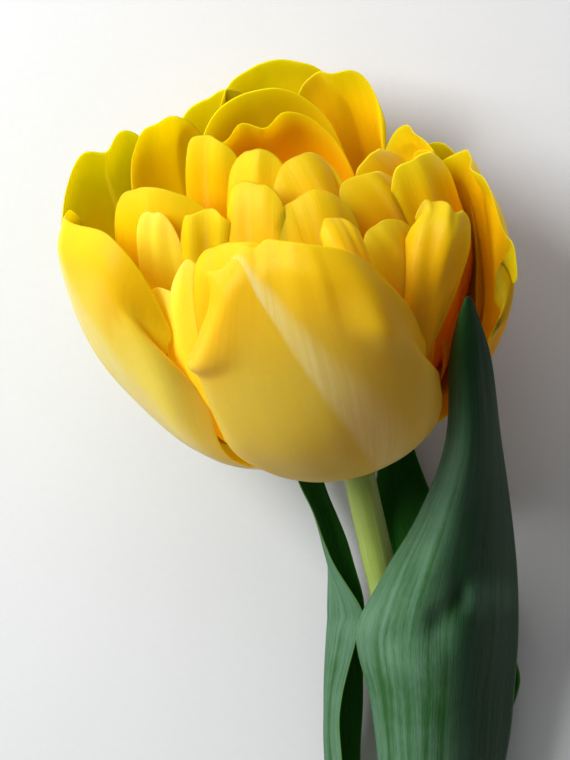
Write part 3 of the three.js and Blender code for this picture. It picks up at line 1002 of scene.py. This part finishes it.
@dataclass(kw_only=True)
class InnerPetal(Petal):
    """A petal of the second layer, with a thinner lip."""

    columns: int = 24
    rows: int = 26
    lip: float = 1.2


@dataclass(kw_only=True)
class HeartPetal(Petal):
    """A small folded petal of the heart, broadest near its tip."""

    lip: float = 0.5
    groove: float = 0.12
    spoon: float = 0.32
    crinkle: float = 1.8


@dataclass
class Bloom:
    """The flower head: its petals, outermost first, on the swollen end of the stem."""

    wardrobe: Wardrobe
    receptacle_radius: float = 8.33
    receptacle_height: float = 19.0
    receptacle_start: float = 0.3  # how far above the neck it begins
    receptacle_lobes: int = 6
    lobe_depth: float = 0.06  # as a share of the radius

    def outer_petals(self) -> list[Petal]:
        """The six broad petals outside and the narrow one that leans to the right inside them."""
        return [
            OuterPetal(
                name="petal_front", turn=-8, reach=32, rise=60.5, belly=41.2, width=54, curl=-16, cup=28,
                apex=-0.35, taper=0.3, wave=1.2, notch=0.5, tone=Tone.FLAMED, columns=48, rows=60,
                swells=(
                    Swell(0.57, 0.8, 0.16, 0.14, 3.6, 0.06),
                    Swell(0.56, 0.74, 0.09, 0.05, 1.1),
                    Swell(-0.85, 0.73, 0.3, 0.12, 1.7, 0.02),
                    Swell(0.25, 0.9, 0.05, 0.12, 0.8),
                ),
                lobes=(
                    Swell(-1, 0.72, 0.5, 0.035, 2.8),
                    Swell(-1, 0.93, 0.5, 0.12, -3),
                    Swell(-1, 0.45, 0.5, 0.15, -1.2),
                    Swell(1, 0.95, 0.5, 0.13, 6),
                ),
                crown=(
                    Swell(-0.3, 1, 0.07, 1, -1.4),
                    Swell(-0.75, 1, 0.3, 1, -3.0),
                    Swell(0.55, 1, 0.3, 1, 0.4),
                ),
            ),
            OuterPetal(
                name="petal_left", turn=-86, reach=42, rise=61, belly=42, width=48, curl=-8, cup=21,
                face=18, blunt=3, wave=0.8, notch=0.5, tone=Tone.CREAMY,
                lobes=(Swell(1, 0.5, 0.5, 0.3, -5), Swell(1, 0.88, 0.5, 0.1, -4.5)),
                swells=(Swell(1, 0.6, 0.45, 0.3, 3.5),),
            ),
            OuterPetal(
                name="petal_heart", turn=-127, reach=43, rise=65, belly=40, width=48, curl=4, cup=34,
                face=-16, apex=-0.1, wave=0.8, notch=2.6, groove=0.8, tone=Tone.OLIVE,
                lobes=(Swell(1, 0.85, 0.5, 0.2, 3.5), Swell(-1, 0.95, 0.5, 0.3, -11)),
                swells=(Swell(-1, 0.9, 0.35, 0.25, 2.5),),
            ),
            OuterPetal(
                name="petal_back", turn=177, reach=40.5, rise=68, belly=46, width=38, curl=-4, cup=30,
                wave=0.8, notch=0.5, tone=Tone.LIME, lobes=(Swell(1, 0.92, 0.5, 0.15, -2.4),),
            ),
            OuterPetal(
                name="petal_back_right", turn=126, reach=37, rise=50.6, belly=38, width=44, curl=-2, cup=26,
                wave=1.4, notch=0.8, tone=Tone.HONEY,
            ),
            OuterPetal(
                name="petal_right", turn=92, reach=37, rise=53, belly=34, width=46, curl=6, cup=26,
                face=20, wave=2.2, notch=0.8, tone=Tone.HONEY,
                swells=(
                    Swell(-1, 0.99, 0.2, 0.045, 2),
                    Swell(-1, 0.89, 0.2, 0.04, -3),
                    Swell(-0.42, 0.74, 0.34, 0.27, -3.4),
                ),
                lobes=(Swell(-1, 0.7, 0.5, 0.1, 1.5), Swell(-1, 0.93, 0.5, 0.03, -3)),
                crown=(Swell(-1, 1, 0.14, 1, 5), Swell(-0.75, 1, 0.2, 1, -2.5)),
            ),
            OuterPetal(
                name="petal_scalloped", turn=17, reach=24.5, rise=52, belly=27, width=16, curl=-18, cup=22,
                face=-3, lean=35.2, spoon=0.45, wave=1.4, notch=0.8, tone=Tone.HONEY, rows=48,
                lobes=(Swell(-1, 0.975, 0.5, 0.02, -2.4), Swell(1, 0.62, 0.5, 0.25, -3.2)),
                crown=(Swell(-1, 1, 0.3, 1, 3.5),),
            ),
        ]

    def inner_petals(self) -> list[Petal]:
        """The second layer, from the back round to the front and the right."""
        return [
            InnerPetal(
                name="petal_curled", turn=157, reach=37, rise=65, belly=35, width=24, curl=-10, cup=22,
                wave=1, notch=0.5, swells=(Swell(-1, 0.85, 0.3, 0.14, -4),),
            ),
            InnerPetal(
                name="petal_folded_back", turn=-175, reach=27, rise=67, belly=31, width=38, curl=-22, cup=26,
                wave=0.8, notch=0.8, tone=Tone.LIME,
            ),
            InnerPetal(
                name="petal_narrow_back", turn=-164, reach=39, rise=64.5, belly=38, width=26, curl=-4, cup=26,
                tone=Tone.LIME, lobes=(Swell(-1, 0.97, 0.5, 0.2, 3),),
            ),
            InnerPetal(
                name="petal_broad_back", turn=-142, reach=35.5, rise=65, belly=34, width=25, curl=-12, cup=40,
                tone=Tone.LIT, lobes=(Swell(1, 0.75, 0.5, 0.15, 1.5),),
            ),
            InnerPetal(
                name="petal_left_inner", turn=-86, reach=26, rise=63.5, belly=32, width=30, curl=-8, cup=20,
                face=50, wave=0.7,
            ),
            InnerPetal(
                name="petal_left_low", turn=-49, reach=29, rise=55.3, belly=31, width=26, curl=-10, cup=16,
                face=15, blunt=1.2, taper=0.35, wave=0.7, tone=Tone.SUNNY,
                lobes=(Swell(-1, 0.6, 0.5, 0.3, -4),),
            ),
            InnerPetal(
                name="petal_front_inner", turn=-31, reach=27, rise=58.2, belly=32, width=28, curl=-24, cup=18,
                wave=0.7, lobes=(Swell(-1, 0.85, 0.5, 0.3, -1.8),), crown=(Swell(0.4, 1, 0.22, 1, 2.4),),
            ),
            InnerPetal(
                name="petal_right_inner", turn=108, reach=30, rise=53, belly=27, width=28, curl=-12, cup=20,
                face=-12, wave=1, notch=0.5, tone=Tone.HONEY,
            ),
            InnerPetal(
                name="petal_orange_back", turn=-172, reach=18.5, rise=65.5, belly=27, width=40, curl=-26,
                cup=26, apex=0.1, wave=0.8, notch=1, tone=Tone.AMBER,
                swells=(Swell(0.45, 1, 0.13, 0.06, -3.5), Swell(-0.06, 1, 0.13, 0.06, -3.5)),
            ),
        ]

    def heart_petals(self) -> list[Petal]:
        """The small petals of the heart, from its margin to its middle."""
        return [
            HeartPetal(
                name="petal_left_slip", turn=-79, reach=26, rise=60, belly=28, width=12.5, curl=-12, cup=22,
                face=35, blunt=1.8, taper=0.2, wave=0.5, tone=Tone.SUNNY,
            ),
            HeartPetal(
                name="petal_left_short", turn=-64, reach=30, rise=48.5, belly=34, width=20, curl=-5, cup=16,
                face=10, blunt=1.5, wave=0.4, tone=Tone.SUNNY,
            ),
            HeartPetal(
                name="petal_knob", turn=14, reach=23.5, rise=58.3, belly=27, width=9, curl=-60, cup=5,
                blunt=1.9, taper=0, wave=0.2,
            ),
            HeartPetal(
                name="petal_round_front", turn=40, reach=22, rise=52.5, belly=22, width=12, curl=-38, cup=13,
                face=-8, taper=0,
            ),
            HeartPetal(
                name="petal_centre_left", turn=-55, reach=20, rise=60.5, belly=26, width=16, curl=-12, cup=15,
                face=25, tone=Tone.LIME, lobes=(Swell(1, 0.8, 0.5, 0.12, -5),),
            ),
            HeartPetal(
                name="petal_centre_front", turn=8, reach=14.5, rise=60.4, belly=24, width=16.5, curl=-42,
                cup=18, taper=0,
            ),
            HeartPetal(
                name="petal_centre_right", turn=74, reach=24.5, rise=59, belly=21, width=17, curl=-14, cup=16,
                face=-45,
            ),
            HeartPetal(
                name="petal_upper_right", turn=122, reach=31, rise=55, belly=25, width=30, curl=-16, cup=16,
                face=-10, wave=0.8,
            ),
            HeartPetal(
                name="petal_right_slip", turn=92, reach=26.5, rise=51.5, belly=25, width=19, curl=-24, cup=13,
                face=-40, taper=0, wave=0.4,
            ),
            HeartPetal(
                name="petal_heart_left", turn=-31, reach=13.5, rise=64, belly=21, width=14.5, curl=-38,
                cup=11, taper=0, wave=0.5,
            ),
            HeartPetal(
                name="petal_heart_right", turn=62, reach=14.5, rise=58.5, belly=22, width=18.5, curl=-40,
                cup=16, face=-35, apex=-0.3, taper=0,
                lobes=(Swell(1, 0.9, 0.5, 0.3, -3),), crown=(Swell(-1, 1, 0.35, 1, -3.5),),
            ),
            HeartPetal(
                name="petal_heart_far", turn=98, reach=16.5, rise=58, belly=20, width=17, curl=-30, cup=14,
                face=-50, taper=0, wave=0.5,
            ),
            HeartPetal(
                name="petal_heart_back", turn=-114, reach=14.0, rise=68, belly=22, width=17, curl=-15, cup=15,
                face=65, blunt=1.9, taper=0, wave=0.5, crown=(Swell(-1, 1, 0.4, 1, -3),),
            ),
            HeartPetal(
                name="petal_bud_left", turn=-46, reach=6.4, rise=67.2, belly=16, width=13, curl=-28, cup=10,
                face=10, taper=0, wave=0.5,
            ),
            HeartPetal(
                name="petal_bud_right", turn=25, reach=7, rise=65, belly=15, width=17, curl=-45, cup=9,
                apex=-0.3, taper=0, wave=0.5, notch=0.4,
                lobes=(Swell(1, 0.9, 0.5, 0.3, -3),), crown=(Swell(-1, 1, 0.35, 1, -3),),
            ),
        ]

    def build_petals(self) -> None:
        """Models every petal in its tone, each with its root further in than the last."""
        petals = self.outer_petals() + self.inner_petals() + self.heart_petals()
        for order, petal in enumerate(petals):
            petal.order = order
            petal.inwards = order / len(petals)
            outer, inner = FINISHES[petal.tone]
            piece = petal.build(self.wardrobe.material(outer), self.wardrobe.material(inner))
            mark_seed(piece, order * SEED_STEP)
            settle(piece, "bloom")

    def build_receptacle(self) -> None:
        """Models the swollen end of the stem, with a soft lobe under each outer petal."""
        bpy.ops.object.select_all(action="DESELECT")
        bpy.ops.mesh.primitive_uv_sphere_add(segments=48, ring_count=24, radius=1, calc_uvs=True)
        piece = new_piece("receptacle")
        at_pole = 0.999
        for vertex in piece.data.vertices:
            x, y, z = vertex.co
            share = (z + 1) / 2
            around = math.atan2(y, x)
            swell = math.sin(math.pi * min(1.0, share + 0.06) ** 0.7) ** 0.8
            lobes = 1 + self.lobe_depth * math.cos(self.receptacle_lobes * around) * (1 - share)
            wide = self.receptacle_radius * swell * lobes if abs(z) <= at_pole else 0.0
            up = self.receptacle_start + share * self.receptacle_height
            vertex.co = (NECK + AXIS * up + outward(around) * wide) * MM
        start_edit()
        end_edit()
        piece.data.materials.append(self.wardrobe.material(RECEPTACLE_FINISH))
        mark_seed(piece, 0.0)
        settle(piece, "bloom")


@dataclass
class Stem:
    """The bent round stem from the bloom's neck to its cut end."""

    wardrobe: Wardrobe
    neck_radius: float = 3.05
    cut_radius: float = 3.5
    ribs: int = 7
    rib_height: float = 0.04
    unevenness: float = 0.05
    inset: float = 0.03  # how far its ribbed skin lies in, so that it stays inside its size
    sides: int = 32
    rings: int = 180
    seam_angle: float = 50.0  # degrees past which an edge stays sharp
    cut_steps: tuple[float, float, float] = (0.3, 0.6, 1.0)  # widths of the steps across an end
    cut_hollow: float = 0.15  # how far the second of them sinks
    middle: tuple[Point, ...] = (
        (8.5, -37.6, 19.8),
        (12.6, -55, 14),
        (14.3, -62.4, 11.8),
        (17.4, -83.5, 8.8),
        (18.8, -96, 7.4),
        (20.2, -120, 6.4),
        (20.6, -144, 5.8),
        (20.2, -166, 5.2),
        (19.5, -182, 4.7),
        (18.6, -224, 3.5),
    )

    def cut_finish(self) -> CutFinish:
        """The finish of the cut end, centred on it."""
        return CutFinish(
            "stem_cut",
            pith=(0.62, 0.66, 0.34),
            ring=(0.26, 0.40, 0.09),
            vessel=(0.34, 0.46, 0.14),
            centre=self.middle[-1],
            radius=self.cut_radius,
        )

    def point(self, u: float, v: float) -> Vector:
        """The point of the skin at u, -1 to 1 round the stem, and v, 0 at the cut and 1 at the neck."""
        path = [NECK, *(Vector(p) for p in self.middle)]
        share = 1 - v
        ahead = heading(path, share).normalized()
        aside = Vector((0, 0, 1)).cross(ahead).normalized()
        up = ahead.cross(aside)
        angle = math.pi * u
        x, y = math.cos(angle), math.sin(angle)
        radius = lerp(self.neck_radius, self.cut_radius, share) - self.inset
        radius += self.rib_height * math.cos(self.ribs * angle)
        radius += self.unevenness * drift(x, y, share * 14)
        at = along_curve(path, share) + (aside * x + up * y) * radius
        at.z = max(at.z, 0.0)
        return at

    def build(self) -> None:
        """Models the stem: a grid rolled into a tube, its ends filled and the cut end finished."""
        piece = add_grid("stem_skin", self.sides, self.rings)
        for vertex in piece.data.vertices:
            vertex.co = self.point(vertex.co.x, (vertex.co.y + 1) / 2) * MM
        piece.data.materials.append(self.wardrobe.material(STEM_FINISH))
        piece.data.materials.append(self.wardrobe.material(self.cut_finish()))
        start_edit()
        for at_cut in (False, True):
            self.close_end(piece, at_cut)
        end_edit()
        bpy.ops.object.shade_smooth_by_angle(angle=math.radians(self.seam_angle))
        settle(piece, "stem")

    def close_end(self, piece: bpy.types.Object, at_cut: bool) -> None:
        """Fills one open end with steps that end in a middle point.

        Args:
            piece: the tube, in edit mode.
            at_cut: True for the cut end, which is drawn in a little, False for the neck.
        """
        bpy.ops.mesh.select_mode(type="EDGE")
        bpy.ops.mesh.select_all(action="DESELECT")
        mesh = bmesh.from_edit_mesh(piece.data)
        halfway = (NECK.y + self.middle[-1][1]) / 2 * MM
        for edge in mesh.edges:
            low = (edge.verts[0].co.y + edge.verts[1].co.y) / 2 < halfway
            edge.select_set(edge.is_boundary and low == at_cut)
        bmesh.update_edit_mesh(piece.data)
        bpy.ops.mesh.edge_face_add()
        piece.active_material_index = 1 if at_cut else 0
        bpy.ops.object.material_slot_assign()
        for width, hollow in zip(self.cut_steps, (0.0, self.cut_hollow, 0.0)):
            bpy.ops.mesh.inset(thickness=width * MM, depth=-hollow * MM if at_cut else 0)
        bpy.ops.mesh.poke()


@dataclass(kw_only=True)
class Leaf(Blade):
    """One long leaf that clasps the stem: its left margin, keel and right margin at each station."""

    stations: tuple[tuple[Point, Point, Point], ...]
    wave: float  # height of the ripples along its margins
    waves: float  # how many there are along it
    seed: float
    folds: float = 0.35  # height of its uneven folds
    creases: float = 0.12
    thickness: float = 0.8

    def surface(self) -> Place:
        """The middle of the leaf."""
        left, keel, right = (
            [Vector(station[side]) for station in self.stations] for side in range(3)
        )

        def at(u: float, v: float) -> Vector:
            """The point of the middle surface."""
            on_left, on_keel, on_right = (along_curve(points, v) for points in (left, keel, right))
            half = (on_right - on_left) * 0.5
            rise = (on_left + on_right) * 0.5 - on_keel
            out = half.cross(heading(keel, v)).normalized()
            fade = ease(v, 0.15, 0.4) * (1 - ease(v, 0.85, 1))
            shift = 1.3 * math.copysign(1, u) if u else 0.0
            ripple = self.wave * u * u * math.sin(2 * math.pi * self.waves * v + shift)
            ripple += self.folds * drift(u * 2.5, v * 9, self.seed)
            ripple += self.creases * drift(u * 9, v * 5, self.seed + 4)
            ripple = ripple * fade + sum(swell.at(u, v) for swell in self.swells)
            return on_keel + half * u + rise * u * u + out * ripple

        return at


@dataclass
class Foliage:
    """The three leaves."""

    wardrobe: Wardrobe

    def front(self) -> Leaf:
        """The large leaf in front, whose tip stands beside the bloom, with a dent in its middle."""
        return Leaf(
            name="leaf_front_blade",
            columns=26,
            rows=110,
            wave=0.9,
            waves=3.5,
            seed=1.0,
            swells=(
                Swell(0.04, 0.475, 0.17, 0.032, -2.8),
                Swell(0.27, 0.515, 0.1, 0.024, -2.0),
                Swell(0.43, 0.515, 0.08, 0.03, 1.7),
                Swell(0.75, 0.52, 0.16, 0.03, 0.9),
                Swell(-0.25, 0.56, 0.2, 0.04, 0.9),
                Swell(-0.55, 0.445, 0.14, 0.02, -0.9),
            ),
            stations=(
                ((18.9, -166, 9.4), (23.2, -166, 8.6), (25.3, -166, 4.2)),
                ((17.6, -144, 11), (23.6, -143, 12.5), (28.5, -144, 6)),
                ((14.3, -114.7, 12), (23.4, -113.4, 19), (33.9, -115.4, 8)),
                ((12.7, -94.8, 13), (22.8, -93.4, 23), (38.1, -95.2, 10)),
                ((11.1, -82.9, 13.5), (22.6, -81.4, 26), (39.6, -83.2, 11.5)),
                ((8.3, -69.5, 14), (22.8, -69.6, 29), (40.5, -71.2, 13)),
                ((13.1, -59, 18), (24.2, -58, 32), (39.9, -59.1, 17)),
                ((19.4, -46.9, 26), (27, -46, 37), (38.2, -47, 25)),
                ((24.1, -31.3, 41), (29, -31.2, 46), (35.1, -31.4, 38.8)),
                ((24.6, -16.7, 50), (27.9, -16, 54), (32.3, -16.6, 49.3)),
                ((25.7, -9.3, 54), (27.6, -9, 56.5), (29.8, -9.3, 54)),
                ((27, -5.2, 58), (27.4, -4.8, 58.5), (27.9, -5.2, 58)),
            ),
        )

    def left(self) -> Leaf:
        """The narrow folded leaf at the stem's left."""
        return Leaf(
            name="leaf_left_blade",
            columns=20,
            rows=100,
            wave=0.5,
            waves=3,
            seed=12.0,
            stations=(
                ((17.8, -182, 9.4), (14.4, -182, 4.9), (17.8, -182, 0.5)),
                ((12.6, -150, 10.6), (9.8, -150, 4.9), (13.5, -150, 0.9)),
                ((8.4, -120, 11.6), (5.2, -120, 5), (10.4, -120, 1.2)),
                ((5.8, -94.9, 12), (2.8, -95.9, 5), (9.5, -96.4, 1.5)),
                ((5.8, -83, 12.5), (2.8, -83.8, 6), (9.9, -84.3, 2)),
                ((8.4, -70.6, 13), (3, -70.8, 6.5), (10.2, -72.1, 3)),
                ((9.6, -65.3, 13), (3.2, -65.4, 7), (10.6, -64.4, 5)),
                ((4.1, -55.5, 11.5), (3.4, -55.8, 7), (7.8, -56, 5)),
                ((0.1, -46.7, 10), (2.2, -47.9, 6), (5, -47.6, 4.5)),
                ((-3.2, -40.2, 8.5), (-0.8, -39.6, 5), (2.2, -39.4, 4)),
                ((-5.8, -30, 7), (-3.4, -30, 4), (-0.2, -29.6, 4)),
                ((-5.2, -23.6, 4), (-4.6, -23, 3.6), (-4, -23.6, 4)),
            ),
        )

    def back(self) -> Leaf:
        """The wide leaf behind the stem, at its right."""
        return Leaf(
            name="leaf_back_blade",
            columns=20,
            rows=90,
            wave=0.9,
            waves=3,
            seed=23.0,
            stations=(
                ((16, -150, 4.8), (20.4, -150, 0.5), (25.1, -150, 4.4)),
                ((15, -120, 3.2), (22.4, -120, 0.6), (30, -120, 4.5)),
                ((14.7, -96.3, 2), (24.6, -96.5, 0.6), (35.1, -96.2, 3)),
                ((14.3, -84.3, 2.2), (24.6, -84.4, 0.5), (40.6, -84, 4.5)),
                ((13.9, -77.2, 2.6), (23.6, -77.4, 0.5), (41, -76.9, 5)),
                ((13, -66.1, 3.2), (21.6, -66.3, 1), (35.3, -65.9, 5.5)),
                ((11.8, -54, 5), (18.5, -54.2, 1.5), (28.3, -53.9, 5.5)),
                ((12.1, -41.9, 8), (16.3, -42.1, 2), (23.4, -42, 5)),
                ((13.7, -32, 6), (16.7, -32, 2.5), (19.8, -31.4, 4)),
                ((16.7, -25.4, 3), (17.3, -24.8, 2.6), (17.9, -25.4, 3)),
            ),
        )

    def build(self) -> None:
        """Models the leaves, each with the finish of its outer face and of its inner face."""
        leaves = (
            (self.front(), WAXY_LEAF, GREEN_LEAF),
            (self.left(), GREEN_LEAF, WAXY_LEAF),
            (self.back(), GREEN_LEAF, WAXY_LEAF),
        )
        for leaf, outer, inner in leaves:
            piece = leaf.build(self.wardrobe.material(outer), self.wardrobe.material(inner))
            settle(piece, leaf.name.removesuffix("_blade"))


@dataclass(frozen=True)
class Lamp:
    """One soft square light, its place and size in metres and its power in watts."""

    name: str
    place: Point
    size: float
    power: float


@dataclass
class Studio:
    """The pale floor, the soft lights and the camera above the flower, in metres."""

    wardrobe: Wardrobe
    paper: FloorFinish = FloorFinish("floor_paper", (0.72, 0.73, 0.74))
    floor_size: float = 3.0
    floor_drop: float = 0.0002  # how far the floor lies under the flower
    lamps: tuple[Lamp, ...] = (
        Lamp("key", (-0.48, 0.2, 0.45), 0.35, 6.2),
        Lamp("crown", (-0.15, 0.5, 0.4), 0.4, 1.0),
    )
    lamp_aim: Point = (0.0, -0.02, 0.03)
    room_light: float = 0.225
    camera_place: Point = (-0.0056, -0.020, 0.545)
    camera_distance: float = 0.5  # from the camera to the bloom's middle
    frame_height: float = 0.1406  # what the camera takes in there, bottom to top
    sensor: float = 36.0  # in millimetres, as the lens

    def lay_floor(self) -> None:
        """Lays the floor just under the flower."""
        bpy.ops.object.select_all(action="DESELECT")
        bpy.ops.mesh.primitive_plane_add(size=self.floor_size, location=(0, 0, -self.floor_drop))
        floor = new_piece("floor")
        floor.data.materials.append(self.wardrobe.material(self.paper))

    def hang_lamp(self, lamp: Lamp) -> None:
        """Hangs one light that faces the bloom."""
        aim = Vector(self.lamp_aim) - Vector(lamp.place)
        turned = aim.to_track_quat("-Z", "Y").to_euler()
        bpy.ops.object.light_add(type="AREA", location=lamp.place, rotation=turned)
        light = bpy.context.object
        light.name = lamp.name
        light.data.size = lamp.size
        light.data.energy = lamp.power

    def light_room(self) -> None:
        """Gives the room an even white light."""
        world = bpy.data.worlds.new("room")
        world.use_nodes = True
        background = world.node_tree.nodes["Background"]
        background.inputs["Color"].default_value = (1.0, 1.0, 1.0, 1.0)
        background.inputs["Strength"].default_value = self.room_light
        bpy.context.scene.world = world

    def set_camera(self) -> None:
        """Sets the camera straight above the flower."""
        bpy.ops.object.camera_add(location=self.camera_place, rotation=(0, 0, 0))
        camera = bpy.context.object
        camera.data.sensor_width = self.sensor
        camera.data.lens = self.sensor * self.camera_distance / self.frame_height
        bpy.context.scene.camera = camera
        bpy.context.scene.view_settings.view_transform = "Standard"

    def build(self) -> None:
        """Sets up the whole studio."""
        self.lay_floor()
        for lamp in self.lamps:
            self.hang_lamp(lamp)
        self.light_room()
        self.set_camera()


def main() -> None:
    """Builds the flower and its studio."""
    logging.basicConfig(level=logging.INFO, format="%(name)s %(message)s")
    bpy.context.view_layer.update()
    wardrobe = Wardrobe()
    bloom = Bloom(wardrobe)
    bloom.build_receptacle()
    bloom.build_petals()
    Stem(wardrobe).build()
    Foliage(wardrobe).build()
    Studio(wardrobe).build()


if __name__ == "__main__":
    main()
